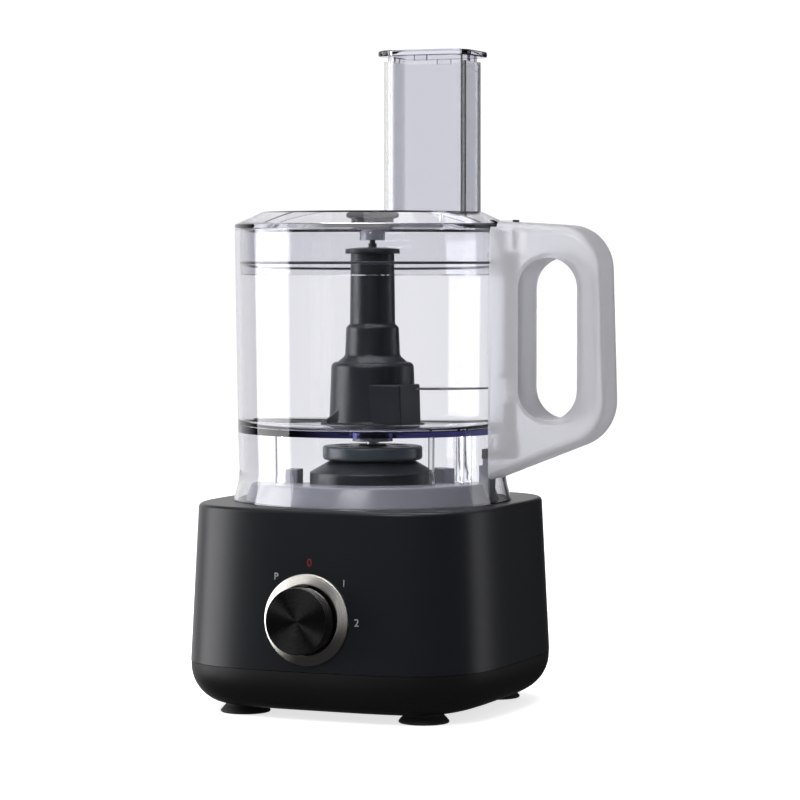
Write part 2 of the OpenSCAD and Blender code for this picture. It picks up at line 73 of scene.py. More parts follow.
# Lower shell ----------------------------------------------------------------------------------
# The black tray that closes the base from below, injection moulded in matte plastic. It has
# air slots under the motor.
def select_only(piece):
    if bpy.context.mode != "OBJECT":
        bpy.ops.object.mode_set(mode="OBJECT")
    bpy.ops.object.select_all(action="DESELECT")
    piece.select_set(True)
    bpy.context.view_layer.objects.active = piece


def pick(piece, kind, test):
    """Goes into edit mode and selects the vertices, edges or faces that pass a test."""
    select_only(piece)
    bpy.ops.object.mode_set(mode="EDIT")
    bpy.ops.mesh.select_mode(type=kind)
    bpy.ops.mesh.select_all(action="DESELECT")
    mesh = bmesh.from_edit_mesh(piece.data)
    for part in {"VERT": mesh.verts, "EDGE": mesh.edges, "FACE": mesh.faces}[kind]:
        if test(part):
            part.select_set(True)
    mesh.select_flush_mode()
    bmesh.update_edit_mesh(piece.data)


def settle(piece):
    """Leaves edit mode and puts the piece's place and size into its mesh."""
    select_only(piece)
    bpy.ops.object.transform_apply(location=True, rotation=True, scale=True)
    return piece


def add_block(name, low, high):
    """A block between two corners, given in millimetres."""
    low, high = Vector(low) / 1000, Vector(high) / 1000
    bpy.ops.object.select_all(action="DESELECT")
    bpy.ops.mesh.primitive_cube_add(size=1, location=(low + high) / 2)
    piece = bpy.context.object
    piece.name = name
    piece.scale = high - low
    return settle(piece)


def apply_modifier(piece, kind, **settings):
    select_only(piece)
    modifier = piece.modifiers.new(kind.lower(), kind)
    for key, value in settings.items():
        setattr(modifier, key, value)
    bpy.ops.object.modifier_apply(modifier=modifier.name)


def combine(piece, other, operation):
    """Cuts another solid out of the piece, or joins it on, and removes the other."""
    apply_modifier(piece, "BOOLEAN", object=other, operation=operation, solver="EXACT")
    bpy.data.objects.remove(other)


def is_upright(edge):
    a, b = (v.co for v in edge.verts)
    return abs(a.z - b.z) > 0.9 * (a - b).length


def squarish_block(name, half, low, high):
    """A block, in millimetres, whose outline is a soft square with slightly bowed sides."""
    piece = add_block(name, (-half, -half, low), (half, half, high))
    pick(piece, "EDGE", is_upright)
    bpy.ops.mesh.bevel(offset=0.000995 * half, segments=40, profile=0.687, affect="EDGES")
    return settle(piece)


def smooth(piece, angle=35):
    select_only(piece)
    bpy.ops.object.shade_smooth_by_angle(angle=math.radians(angle))
    apply_modifier(piece, "WEIGHTED_NORMAL", weight=100, keep_sharp=True)


def new_material(name, colour, roughness, metallic=0.0):
    """A material with a Principled shader, and its nodes, links and shader."""
    material = bpy.data.materials.new(name)
    material.use_nodes = True
    shader = material.node_tree.nodes["Principled BSDF"]
    shader.inputs["Base Color"].default_value = (*colour, 1)
    shader.inputs["Roughness"].default_value = roughness
    shader.inputs["Metallic"].default_value = metallic
    return material, material.node_tree.nodes, material.node_tree.links, shader


def make_moulded_grain():
    """Fine grain of a moulded or cast surface, with broad patches of handling on it."""
    group = bpy.data.node_groups.new("moulded_grain", "ShaderNodeTree")
    for name, start in (("Scale", 900.0), ("Roughness", 0.4), ("Spread", 0.1)):
        socket = group.interface.new_socket(name, in_out="INPUT", socket_type="NodeSocketFloat")
        socket.default_value = start
    for name in ("Roughness", "Height"):
        group.interface.new_socket(name, in_out="OUTPUT", socket_type="NodeSocketFloat")
    nodes, links = group.nodes, group.links
    given = nodes.new("NodeGroupInput")
    made = nodes.new("NodeGroupOutput")
    place = nodes.new("ShaderNodeTexCoord")
    fine = nodes.new("ShaderNodeTexNoise")
    fine.inputs["Detail"].default_value = 3
    broad = nodes.new("ShaderNodeTexNoise")
    broad.inputs["Scale"].default_value = 22
    broad.inputs["Detail"].default_value = 4
    mixed = nodes.new("ShaderNodeMath")
    mixed.operation = "MULTIPLY_ADD"
    centred = nodes.new("ShaderNodeMath")
    centred.operation = "SUBTRACT"
    centred.inputs[1].default_value = 0.5
    links.new(place.outputs["Object"], fine.inputs["Vector"])
    links.new(place.outputs["Object"], broad.inputs["Vector"])
    links.new(given.outputs["Scale"], fine.inputs["Scale"])
    links.new(broad.outputs["Fac"], centred.inputs[0])
    links.new(centred.outputs[0], mixed.inputs[0])
    links.new(given.outputs["Spread"], mixed.inputs[1])
    links.new(given.outputs["Roughness"], mixed.inputs[2])
    links.new(mixed.outputs[0], made.inputs["Roughness"])
    links.new(fine.outputs["Fac"], made.inputs["Height"])
    return group


moulded_grain = make_moulded_grain()


def add_grain(nodes, links, shader, scale, roughness, spread, depth):
    grain = nodes.new("ShaderNodeGroup")
    grain.node_tree = moulded_grain
    grain.inputs["Scale"].default_value = scale
    grain.inputs["Roughness"].default_value = roughness
    grain.inputs["Spread"].default_value = spread
    bump = nodes.new("ShaderNodeBump")
    bump.inputs["Strength"].default_value = 0.12
    bump.inputs["Distance"].default_value = depth
    links.new(grain.outputs["Roughness"], shader.inputs["Roughness"])
    links.new(grain.outputs["Height"], bump.inputs["Height"])
    links.new(bump.outputs["Normal"], shader.inputs["Normal"])


def moulded_plastic(name, colour, roughness, scale=2600, spread=0.12, depth=0.00003):
    material, nodes, links, shader = new_material(name, colour, roughness)
    add_grain(nodes, links, shader, scale, roughness, spread, depth)
    return material


tray_plastic = moulded_plastic("tray_plastic", (0.0022, 0.0024, 0.0028), 0.52)
tray_bottom, tray_half = 5.5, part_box("base_shell")[1].x * 1000 - 0.2
tray_top = 31.2
lower_shell = squarish_block("lower_shell_skin", tray_half, tray_bottom, tray_top)
pick(lower_shell, "EDGE", lambda e: all(v.co.z < 0.0056 for v in e.verts))
bpy.ops.mesh.bevel(offset=0.0235, segments=12, affect="EDGES", profile=0.5)
pick(lower_shell, "FACE", lambda f: f.calc_center_median().z > 0.0311)
bpy.ops.mesh.delete(type="FACE")
settle(lower_shell)
apply_modifier(lower_shell, "SOLIDIFY", thickness=0.0026, offset=-1)
for i in range(-4, 5):
    combine(lower_shell, add_block("slot", (i * 9 - 1.6, -28, 0), (i * 9 + 1.6, 28, 10)),
            "DIFFERENCE")
smooth(lower_shell)
lower_shell.data.materials.append(tray_plastic)
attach(lower_shell, "base")
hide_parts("lower_shell")


# Feet -----------------------------------------------------------------------------------------
# Four suction cups of soft black rubber, pushed up into the lower shell.
def turned(name, outline, steps=160):
    """A piece turned about Z. Its outline is a closed loop of radius and height in millimetres."""
    bpy.ops.object.select_all(action="DESELECT")
    bpy.ops.mesh.primitive_plane_add(size=0.001)
    piece = bpy.context.object
    piece.name = name
    bpy.ops.object.mode_set(mode="EDIT")
    bpy.ops.mesh.select_mode(type="VERT")
    bpy.ops.mesh.select_all(action="SELECT")
    bpy.ops.mesh.merge(type="CENTER")
    points = [Vector((r / 1000, 0, z / 1000)) for r, z in outline]
    bpy.ops.transform.translate(value=points[0])
    for before, after in zip(points, points[1:] + points[:1]):
        bpy.ops.mesh.extrude_vertices_move(TRANSFORM_OT_translate={"value": after - before})
    bpy.ops.mesh.select_all(action="SELECT")
    bpy.ops.mesh.remove_doubles(threshold=1e-6)
    bpy.ops.mesh.select_all(action="SELECT")
    bpy.ops.mesh.spin(steps=steps, angle=math.tau, center=(0, 0, 0), axis=(0, 0, 1))
    bpy.ops.mesh.select_all(action="SELECT")
    bpy.ops.mesh.remove_doubles(threshold=2e-6)
    bpy.ops.mesh.normals_make_consistent(inside=False)
    return settle(piece)


def arc(x, z, radius, start, end, steps=6):
    """Points along an arc, in millimetres and degrees."""
    turns = [math.radians(start + (end - start) * i / steps) for i in range(steps + 1)]
    return [(x + radius * math.cos(a), z + radius * math.sin(a)) for a in turns]


def copy_to(piece, name, place):
    """A copy with its own mesh, moved by a place in metres."""
    other = piece.copy()
    other.data = piece.data.copy()
    other.name = name
    bpy.context.collection.objects.link(other)
    other.location = place
    return settle(other)


foot_rubber = moulded_plastic("foot_rubber", (0.010, 0.010, 0.010), 0.62, scale=900)
feet_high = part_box("base_feet")[1]
foot_radius = 15.2
foot_at = feet_high.x - foot_radius / 1000
foot = turned("foot", [(0, 4.2), (8, 3.2), (12.5, 1.1), (14.2, 0)]
              + arc(14.4, 0.8, 0.8, -90, 50) + [(13.6, 3.0), (12.2, 4.4)]
              + [(11.6, 5.4), (11.6, 14.9), (0, 14.9)], steps=64)
smooth(foot)
foot.data.materials.append(foot_rubber)
for i, (x, y) in enumerate([(-1, -1), (1, -1), (-1, 1), (1, 1)]):
    cup = copy_to(foot, f"foot_{i + 1}", (x * foot_at, y * foot_at, 0))
    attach(cup, "base")
    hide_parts("base_feet")
bpy.data.objects.remove(foot)


# Screws, bearings, shafts and springs ---------------------------------------------------------
# Plain turned and drawn steel pieces inside the base, the bowl and the handle.
def dress(material, *names):
    """Gives the carried-over pieces a material."""
    for name in names:
        piece = frame["nodes"][name]
        piece.data.materials.clear()
        piece.data.materials.append(material)


def bright_metal(name, colour, roughness, scale=500, spread=0.15, depth=0.00003):
    material, nodes, links, shader = new_material(name, colour, roughness, metallic=1.0)
    add_grain(nodes, links, shader, scale, roughness, spread, depth)
    return material


drawn_steel = bright_metal("drawn_steel", (0.62, 0.62, 0.61), 0.28)
dress(drawn_steel, "base_screws", "spindle_bearings", "motor_bearings", "motor_bolts",
      "plunger_spring", "motor_shaft", "drive_spindle", "rod_spring", "motor_pulley")


# Motor frame and brackets ---------------------------------------------------------------------
# Die-cast aluminium: the plate that carries the spindle and the motor, and the motor's ends.
cast_aluminium = bright_metal("cast_aluminium", (0.56, 0.57, 0.58), 0.45, scale=700, depth=0.0001)
dress(cast_aluminium, "motor_frame", "motor_lower_bracket", "motor_upper_bracket")


# Stator and armature --------------------------------------------------------------------------
# Stacks of punched steel sheet; the edges of the sheets show as fine level lines.
def laminated_steel():
    material, nodes, links, shader = new_material("laminated_steel", (0.16, 0.15, 0.14), 0.5, 1.0)
    place = nodes.new("ShaderNodeTexCoord")
    sheets = nodes.new("ShaderNodeTexWave")
    sheets.bands_direction = "Z"
    sheets.inputs["Scale"].default_value = 320
    bump = nodes.new("ShaderNodeBump")
    bump.inputs["Distance"].default_value = 0.0002
    links.new(place.outputs["Object"], sheets.inputs["Vector"])
    links.new(sheets.outputs["Fac"], bump.inputs["Height"])
    links.new(bump.outputs["Normal"], shader.inputs["Normal"])
    return material


dress(laminated_steel(), "stator_core", "armature_core")


# Windings -------------------------------------------------------------------------------------
# Enamelled copper wire on the stator and the armature, and the commutator's copper bars.
def wound_copper():
    material, nodes, links, shader = new_material("wound_copper", (0.55, 0.20, 0.08), 0.3, 0.9)
    place = nodes.new("ShaderNodeTexCoord")
    wires = nodes.new("ShaderNodeTexWave")
    wires.bands_direction = "DIAGONAL"
    wires.inputs["Scale"].default_value = 260
    wires.inputs["Distortion"].default_value = 1.5
    bump = nodes.new("ShaderNodeBump")
    bump.inputs["Distance"].default_value = 0.0003
    links.new(place.outputs["Object"], wires.inputs["Vector"])
    links.new(wires.outputs["Fac"], bump.inputs["Height"])
    links.new(bump.outputs["Normal"], shader.inputs["Normal"])
    return material


dress(wound_copper(), "field_coils", "armature_windings", "commutator")

# Brush gear, fan, pulley and switches ---------------------------------------------------------
# Brass brush tubes with carbon in them; the fan, the big pulley and the switches are nylon.
dress(bright_metal("brush_brass", (0.72, 0.52, 0.22), 0.32), "brush_holders")
dress(moulded_plastic("brush_carbon", (0.02, 0.02, 0.021), 0.7), "carbon_brushes")
dress(moulded_plastic("black_nylon", (0.012, 0.012, 0.013), 0.42), "cooling_fan", "drive_pulley",
      "rotary_switch", "interlock_switch", "cord_gland", "switch_shaft", "knob")
dress(moulded_plastic("soft_rubber", (0.012, 0.012, 0.012), 0.6, scale=800), "drive_belt",
      "spindle_seal")
dress(moulded_plastic("board_lacquer", (0.015, 0.10, 0.03), 0.3), "control_board")

# Housing --------------------------------------------------------------------------------------
# The upper half of the base, moulded in anthracite plastic with a satin lacquer. Its sides lean
# in towards the deck, and the deck has a round opening under the bowl.
seam, deck = (corner.z * 1000 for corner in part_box("base_shell"))
housing_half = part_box("base_shell")[1].x * 1000
deck_half = 94.0
opening_radius = 68.3
housing = squarish_block("housing", housing_half, seam, deck)
pick(housing, "VERT", lambda v: v.co.z > deck / 1000 - 1e-5)
bpy.ops.transform.resize(value=(deck_half / housing_half, deck_half / housing_half, 1))
pick(housing, "EDGE", lambda e: all(v.co.z > deck / 1000 - 1e-5 for v in e.verts))
bpy.ops.mesh.bevel(offset=0.0026, segments=8, affect="EDGES", profile=0.5)
pick(housing, "FACE", lambda f: f.normal.z > 0.999)
bpy.ops.mesh.inset(thickness=0.010)
bpy.ops.transform.tosphere(value=1.0)
flat = [v for v in bmesh.from_edit_mesh(housing.data).verts if v.select]
now_radius = 1000 * sum(v.co.xy.length for v in flat) / len(flat)
bpy.ops.transform.resize(value=(opening_radius / now_radius, opening_radius / now_radius, 1))
bpy.ops.mesh.delete(type="FACE")
pick(housing, "FACE", lambda f: f.normal.z < -0.999)
bpy.ops.mesh.delete(type="FACE")
settle(housing)
apply_modifier(housing, "SOLIDIFY", thickness=0.0026, offset=-1)
combine(housing, add_block("slot", (66, -6.4, deck - 4), (80.2, 6.4, deck + 4)), "DIFFERENCE")
smooth(housing)
satin_lacquer, nodes, links, shader = new_material("satin_lacquer", (0.0050, 0.0060, 0.0085), 0.38)
add_grain(nodes, links, shader, 2600, 0.36, 0.05, 0.00002)
shader.inputs["Specular IOR Level"].default_value = 0.42
housing.data.materials.append(satin_lacquer)
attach(housing, "base")
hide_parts("base_shell")

# Dial ring ------------------------------------------------------------------------------------
# A shallow cone of satin nickel pressed on the housing's front, round the knob.
dial_turn = next(joint for joint in frame["record"]["behaviour"]["joints"]
                 if joint["name"] == "knob_turn")
dial_tilt = math.asin(dial_turn["axis"][2])
dial_centre = Vector(dial_turn["pos_m"])


def face_front(piece):
    """Turns a piece made about Z to point out of the front wall, at the dial's centre."""
    piece.rotation_euler = (math.pi / 2 - dial_tilt, 0, 0)
    piece.location = dial_centre
    return settle(piece)


def make_turning_lines():
    """Fine rings left by turning, round the dial's axis."""
    group = bpy.data.node_groups.new("turning_lines", "ShaderNodeTree")
    for name, start in (("Scale", 9000.0), ("Roughness", 0.3), ("Spread", 0.2)):
        socket = group.interface.new_socket(name, in_out="INPUT", socket_type="NodeSocketFloat")
        socket.default_value = start
    for name in ("Roughness", "Height"):
        group.interface.new_socket(name, in_out="OUTPUT", socket_type="NodeSocketFloat")
    nodes, links = group.nodes, group.links
    given = nodes.new("NodeGroupInput")
    made = nodes.new("NodeGroupOutput")
    place = nodes.new("ShaderNodeTexCoord")
    centred = nodes.new("ShaderNodeMapping")
    centred.inputs["Location"].default_value = (0, 0, -dial_centre.z)
    level = nodes.new("ShaderNodeVectorMath")
    level.operation = "MULTIPLY"
    level.inputs[1].default_value = (1, 0, 1)
    radius = nodes.new("ShaderNodeVectorMath")
    radius.operation = "LENGTH"
    rings = nodes.new("ShaderNodeTexNoise")
    rings.noise_dimensions = "1D"
    rings.inputs["Detail"].default_value = 4
    centre = nodes.new("ShaderNodeMath")
    centre.operation = "SUBTRACT"
    centre.inputs[1].default_value = 0.5
    rough = nodes.new("ShaderNodeMath")
    rough.operation = "MULTIPLY_ADD"
    links.new(place.outputs["Object"], centred.inputs["Vector"])
    links.new(centred.outputs["Vector"], level.inputs[0])
    links.new(level.outputs["Vector"], radius.inputs[0])
    links.new(radius.outputs["Value"], rings.inputs["W"])
    links.new(given.outputs["Scale"], rings.inputs["Scale"])
    links.new(rings.outputs["Fac"], centre.inputs[0])
    links.new(centre.outputs[0], rough.inputs[0])
    links.new(given.outputs["Spread"], rough.inputs[1])
    links.new(given.outputs["Roughness"], rough.inputs[2])
    links.new(rough.outputs[0], made.inputs["Roughness"])
    links.new(rings.outputs["Fac"], made.inputs["Height"])
    return group


turning_lines = make_turning_lines()


def turned_metal(name, colour, roughness, anisotropy, depth):
    material, nodes, links, shader = new_material(name, colour, roughness, metallic=1.0)
    shader.inputs["Anisotropic"].default_value = anisotropy
    lines = nodes.new("ShaderNodeGroup")
    lines.node_tree = turning_lines
    lines.inputs["Roughness"].default_value = roughness
    bump = nodes.new("ShaderNodeBump")
    bump.inputs["Strength"].default_value = 0.4
    bump.inputs["Distance"].default_value = depth
    tangent = nodes.new("ShaderNodeTangent")
    tangent.direction_type = "RADIAL"
    tangent.axis = "Y"
    links.new(lines.outputs["Roughness"], shader.inputs["Roughness"])
    links.new(lines.outputs["Height"], bump.inputs["Height"])
    links.new(bump.outputs["Normal"], shader.inputs["Normal"])
    links.new(tangent.outputs["Tangent"], shader.inputs["Tangent"])
    return material


ring = turned("dial_ring", [(20.8, 0.3), (20.8, 3.0), (21.1, 3.4), (21.8, 3.3)]
              + arc(26.4, 0.9, 0.85, 70, 0) + [(27.25, -0.2), (24, 0.3)])
face_front(ring)
smooth(ring)
ring.data.materials.append(turned_metal("satin_nickel", (0.66, 0.64, 0.60), 0.27, 0.85, 0.00001))
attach(ring, "base")
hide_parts("knob_bezel")

# Knob cap -------------------------------------------------------------------------------------
# A cup of dark anodised aluminium, spun on a lathe, over the nylon core of the knob.
knob_radius = (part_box("knob_cap")[1].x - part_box("knob_cap")[0].x) * 500
knob_out = 15.5
cap = turned("knob_cap_skin", [(0, knob_out - 0.35), (knob_radius - 1.2, knob_out - 0.05)]
             + arc(knob_radius - 0.5, knob_out - 0.5, 0.5, 85, 0)
             + [(knob_radius, 3.7), (knob_radius - 0.8, 3.7),
                (knob_radius - 0.8, knob_out - 1.0), (0, knob_out - 1.2)], steps=200)
face_front(cap)
smooth(cap, 25)
cap.data.materials.append(turned_metal("spun_black", (0.085, 0.085, 0.088), 0.24, 0.95, 0.00001))
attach(cap, "dial")
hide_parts("knob_cap")

# Pointer --------------------------------------------------------------------------------------
# A small black nib on the knob's flank that shows the setting.
nib = add_block("knob_nib", (-2.6, 19.6, 3.9), (2.6, 20.55, 7.3))
pick(nib, "EDGE", lambda e: True)
bpy.ops.mesh.bevel(offset=0.00035, segments=3, affect="EDGES")
settle(nib)
face_front(nib)
smooth(nib)
nib.data.materials.append(moulded_plastic("nib_plastic", (0.006, 0.006, 0.006), 0.4))
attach(nib, "dial")
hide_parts("knob_pointer")


# Dial marks -----------------------------------------------------------------------------------
# The settings, pad printed on the housing: stop in red, and pulse and two speeds in grey.
def print_mark(name, letter, height, x, z, ink):
    bpy.ops.object.select_all(action="DESELECT")
    bpy.ops.object.text_add()
    mark = bpy.context.object
    mark.name = name
    mark.data.body = letter
    mark.data.align_x = "CENTER"
    mark.data.align_y = "CENTER"
    mark.data.size = height / 1000 * 1.4
    mark.data.extrude = 0.00004
    mark.data.offset = 0.00004
    bpy.ops.object.convert(target="MESH")
    mark.rotation_euler = (math.pi / 2, 0, 0)
    mark.location = (x / 1000, dial_centre.y - 0.004, dial_centre.z + z / 1000)
    settle(mark)
    apply_modifier(mark, "SHRINKWRAP", target=housing, offset=0.00004)
    mark.data.materials.append(ink)
    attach(mark, "base")


grey_ink = moulded_plastic("grey_ink", (0.42, 0.43, 0.45), 0.5)
red_ink = moulded_plastic("red_ink", (0.26, 0.012, 0.025), 0.5)
print_mark("mark_stop", "0", 4.7, 0.9, 33.8, red_ink)
print_mark("mark_pulse", "P", 4.2, -20.6, 25.0, grey_ink)
print_mark("mark_one", "1", 4.4, 23.4, 22.4, grey_ink)
print_mark("mark_two", "2", 4.5, 32.0, -0.3, grey_ink)

# Bowl seat ------------------------------------------------------------------------------------
# The grey plateau on the deck that centres the bowl, with three locking lugs and the guide of
# the interlock's plunger. It is moulded in one piece and screwed on from below.
plunger_at = 74.8
seat = turned("bowl_seat_skin", [(65.4, 124.4), (67.7, 124.4), (67.7, 127), (78, 127)]
              + [(74.6, 137.4)] + arc(72.6, 137, 2, 30, 90) + [(34, 139), (34, 136.5)]
              + [(71.6, 136.5), (73.6, 129.5), (65.4, 129.5)])
for turn in (50, 122, 190):
    lug = add_block("lug", (46, -7, 138), (54, 7, 146))
    pick(lug, "EDGE", lambda e: True)
    bpy.ops.mesh.bevel(offset=0.0008, segments=3, affect="EDGES")
    settle(lug)
    lug.rotation_euler = (0, 0, math.radians(turn))
    settle(lug)
    combine(seat, lug, "UNION")
guide = add_block("guide", (71.4, -5.2, 130), (78.4, 5.2, 150))
pick(guide, "EDGE", is_upright)
bpy.ops.mesh.bevel(offset=0.0008, segments=3, affect="EDGES")
combine(seat, settle(guide), "UNION")
combine(seat, add_block("passage", (plunger_at - 2, -3.2, 117), (plunger_at + 2, 3.2, 159)),
        "DIFFERENCE")
smooth(seat)
seat_grey = moulded_plastic("seat_grey", (0.20, 0.205, 0.235), 0.24, depth=0.000002)
seat.data.materials.append(seat_grey)
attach(seat, "base")
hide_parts("bowl_seat")
dress(seat_grey, "interlock_plunger", "bowl_bush")

# Spindle tower --------------------------------------------------------------------------------
# The dark stepped cone round the spindle that keeps spilt liquid out of the base.
tower = turned("spindle_tower_skin", [(38.6, 139.05)] + arc(37.9, 144.4, 0.7, 0, 90)
               + [(36.5, 146)] + arc(26.2, 150.8, 0.8, 45, 90) + [(9.6, 151.6), (9.6, 146)]
               + [(23, 146), (34, 141.4), (34, 139.05)])
smooth(tower)
dark_plastic = moulded_plastic("dark_plastic", (0.012, 0.014, 0.018), 0.32, spread=0.08,
                               depth=0.000002)
tower.data.materials.append(dark_plastic)
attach(tower, "base")
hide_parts("spindle_tower")

# Drive coupling -------------------------------------------------------------------------------
# The ring on the spindle that drives the tool, with six finger holes for its moulding.
coupling = turned("drive_coupling_skin", [(4, 152.2), (28.6, 152.2)]
                  + arc(28.7, 154.2, 2.0, -80, 0) + arc(29.2, 159, 1.5, 0, 90)
                  + [(9, 160.5), (8, 161.6), (4, 161.6)])
for i in range(6):
    bpy.ops.object.select_all(action="DESELECT")
    bpy.ops.mesh.primitive_cylinder_add(vertices=48, radius=0.005, depth=0.006,
                                        location=(0.020, 0, 0.1605))
    hole = settle(bpy.context.object)
    hole.rotation_euler = (0, 0, math.tau * i / 6)
    combine(coupling, settle(hole), "DIFFERENCE")
smooth(coupling)
coupling_grey = moulded_plastic("coupling_grey", (0.040, 0.050, 0.060), 0.30, depth=0.000002)
coupling.data.materials.append(coupling_grey)
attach(coupling, "drive")
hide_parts("drive_coupling")


# Bowl -----------------------------------------------------------------------------------------
# Clear copolyester, injection moulded in one shot: the skirt that sits over the plateau, the
# floor, the middle tube, the wall up to the rim, and the small ribs inside the skirt.
def clear_plastic(name, tint, roughness, density):
    material, nodes, links, shader = new_material(name, tint, roughness)
    shader.inputs["Transmission Weight"].default_value = 1.0
    shader.inputs["IOR"].default_value = 1.49
    add_grain(nodes, links, shader, 60, roughness, roughness * 1.5, 0.00001)
    depth = nodes.new("ShaderNodeVolumeAbsorption")
    depth.inputs["Color"].default_value = (0.35, 0.35, 0.58, 1)
    depth.inputs["Density"].default_value = density
    links.new(depth.outputs["Volume"], nodes["Material Output"].inputs["Volume"])
    return material


bowl = turned("bowl_skin", [(85.6, 127.3), (84.4, 131.5), (83.1, 136.5), (82.3, 141)]
              + [(82, 145), (82.8, 167), (84.6, 291.8)] + arc(84.0, 292.4, 0.6, 0, 90, 4)
              + arc(82.6, 292.4, 0.6, 90, 180, 4) + [(80.6, 180)]
              + arc(75.6, 177, 5, 0, -90, 8) + [(14.6, 172)] + arc(14.6, 173.6, 1.6, 270, 180, 4)
              + [(12.6, 211.4), (12.0, 212), (10.05, 212), (10.05, 165.7), (14.6, 165.7)]
              + [(14.6, 168.8), (79.4, 168.8), (79.2, 147), (79.6, 143), (80.4, 139)]
              + [(81.6, 134), (83.4, 127.3)], steps=224)
for turn in (64, 69, -20, -25, -40, -112, 165):
    rib = add_block("rib", (75, -0.9, 141), (80.0, 0.9, 169.5))
    rib.rotation_euler = (0, 0, math.radians(turn))
    combine(bowl, settle(rib), "UNION")
combine(bowl, add_block("rod_slot", (76, -5.6, 153.2), (90, 5.6, 166)), "DIFFERENCE")
smooth(bowl, 14)
clear_bowl = clear_plastic("clear_bowl", (0.982, 0.984, 0.99), 0.015, 34)
bowl.data.materials.append(clear_bowl)
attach(bowl, "bowl")
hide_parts("bowl")
bowl.visible_shadow = False


# Handle ---------------------------------------------------------------------------------------
# A hollow D-shaped grip of the same plastic, frosted inside so that it looks milky, with a
# cover on its back. Its root holds the interlock's rod, and its top takes the lid's finger.
def outline_prism(name, outline, y_low, y_high):
    """A solid with the outline in X and Z between two depths, in millimetres."""
    bpy.ops.object.select_all(action="DESELECT")
    bpy.ops.mesh.primitive_circle_add(vertices=len(outline), radius=0.01, fill_type="NGON")
    piece = bpy.context.object
    piece.name = name
    for vertex, point in zip(piece.data.vertices, outline):
        vertex.co = (point[0] / 1000, y_low / 1000, point[1] / 1000)
    pick(piece, "FACE", lambda f: True)
    bpy.ops.mesh.extrude_region_move(
        TRANSFORM_OT_translate={"value": (0, (y_high - y_low) / 1000, 0)})
    bpy.ops.mesh.select_all(action="SELECT")
    bpy.ops.mesh.normals_make_consistent(inside=False)
    return settle(piece)


def across(edge):
    """True for an edge that lies in the front or the back face of the handle."""
    a, b = (v.co for v in edge.verts)
    return abs(a.y - b.y) < 1e-6


def soft_prism(name, outline, half_width, rounding):
    piece = outline_prism(name, outline, -half_width, half_width)
    pick(piece, "EDGE", across)
    bpy.ops.mesh.bevel(offset=rounding / 1000, segments=7, affect="EDGES")
    return settle(piece)


def handle_block(name, inset):
    """The handle's outer form, drawn in by an inset on every side, in millimetres."""
    outline = [(80, 297.8 - inset)] + arc(125.8, 268.15, 27 - inset, 85.7, 2.2, 16)
    outline += arc(126.3, 190.2, 29 - inset, 2.2, -68.8, 16) + [(80, 141 + 1.07 * inset)]
    return soft_prism(name, outline, 16.2 - inset, 6.5 - inset)


def finger_block(name, grow, half_width):
    outline = arc(120.4, 256.75, 18.75 + grow, 180, 0, 24)
    outline += arc(120.4, 197.25, 18.75 + grow, 0, -180, 24)
    return outline_prism(name, outline, -half_width, half_width)


handle = handle_block("handle_skin", 0)
inside = handle_block("inside", 2.8)
combine(inside, finger_block("finger_wall", 2.8, 20), "DIFFERENCE")
combine(handle, inside, "DIFFERENCE")
combine(handle, finger_block("finger_way", 0, 20), "DIFFERENCE")
wall = turned("wall", [(0, 120), (86, 120), (84.6, 134), (83, 143), (83, 167), (84.75, 292)]
              + [(85.3, 292.5), (85.3, 310), (0, 310)], steps=224)
combine(handle, wall, "DIFFERENCE")
combine(handle, add_block("finger_notch", (80, -6.1, 279.9), (95.6, 20, 300)), "DIFFERENCE")
combine(handle, add_block("rim_notch", (80, -20, 294), (87.6, 20, 300)), "DIFFERENCE")
handle_back = handle.copy()
handle_back.data = handle.data.copy()
handle_back.name = "handle_cover_skin"
bpy.context.collection.objects.link(handle_back)
combine(handle, add_block("behind", (70, 11.65, 140), (160, 20, 310)), "DIFFERENCE")
combine(handle_back, add_block("front", (70, -20, 140), (160, 11.75, 310)), "DIFFERENCE")
milky, nodes, links, shader = new_material("milky_plastic", (0.90, 0.90, 0.94), 0.24)
add_grain(nodes, links, shader, 60, 0.30, 0.1, 0.00001)
shader.inputs["Transmission Weight"].default_value = 0.75
shader.inputs["IOR"].default_value = 1.45
for piece, node in ((handle, "handle"), (handle_back, "handle_cover")):
    smooth(piece)
    piece.data.materials.clear()
    piece.data.materials.append(milky)
    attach(piece, "bowl")
    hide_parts(node)

# Interlock rod --------------------------------------------------------------------------------
# The grey rod in the handle's root. The lid's finger presses it down on to the plunger.
dress(moulded_plastic("rod_grey", (0.045, 0.048, 0.052), 0.4), "interlock_rod")

# Tool hub -------------------------------------------------------------------------------------
# The stepped tower that carries the blades, moulded in dark grey nylon round the drive socket.
hub = turned("tool_hub_skin", [(0, 282.5), (9, 282.4), (15.6, 281.7)]
             + arc(16.1, 281, 0.6, 75, 0, 4) + [(16.8, 279.3)] + arc(16.3, 279.2, 0.5, 0, -90, 4)
             + [(13.3, 278.6), (13.4, 278.2), (13.9, 235.6)] + [(14.4, 234.6), (15.6, 233.6)]
             + [(16.2, 232.4), (16.9, 216.4), (17.6, 215)] + arc(22.0, 208.4, 3.4, 100, 4, 6)
             + [(26.6, 176.0), (27.4, 174.6), (31.4, 174.2), (32, 173.6), (32, 172.4)]
             + [(14, 172.4), (14, 213.4), (0, 213.4)])
wedge_outline = [(-20, 172.6), (-20, 177), (6.7, 198.5), (30.2, 198.5), (31, 172.6)]
wedge = outline_prism("wedge", wedge_outline, -24, 4.5)
pick(wedge, "EDGE", lambda e: max(v.co.z for v in e.verts) > 0.174)
bpy.ops.mesh.bevel(offset=0.0009, segments=3, affect="EDGES")
settle(wedge)
core = turned("core", [(0, 160), (20, 160), (20, 204), (0, 204)], steps=64)
combine(wedge, core, "DIFFERENCE")
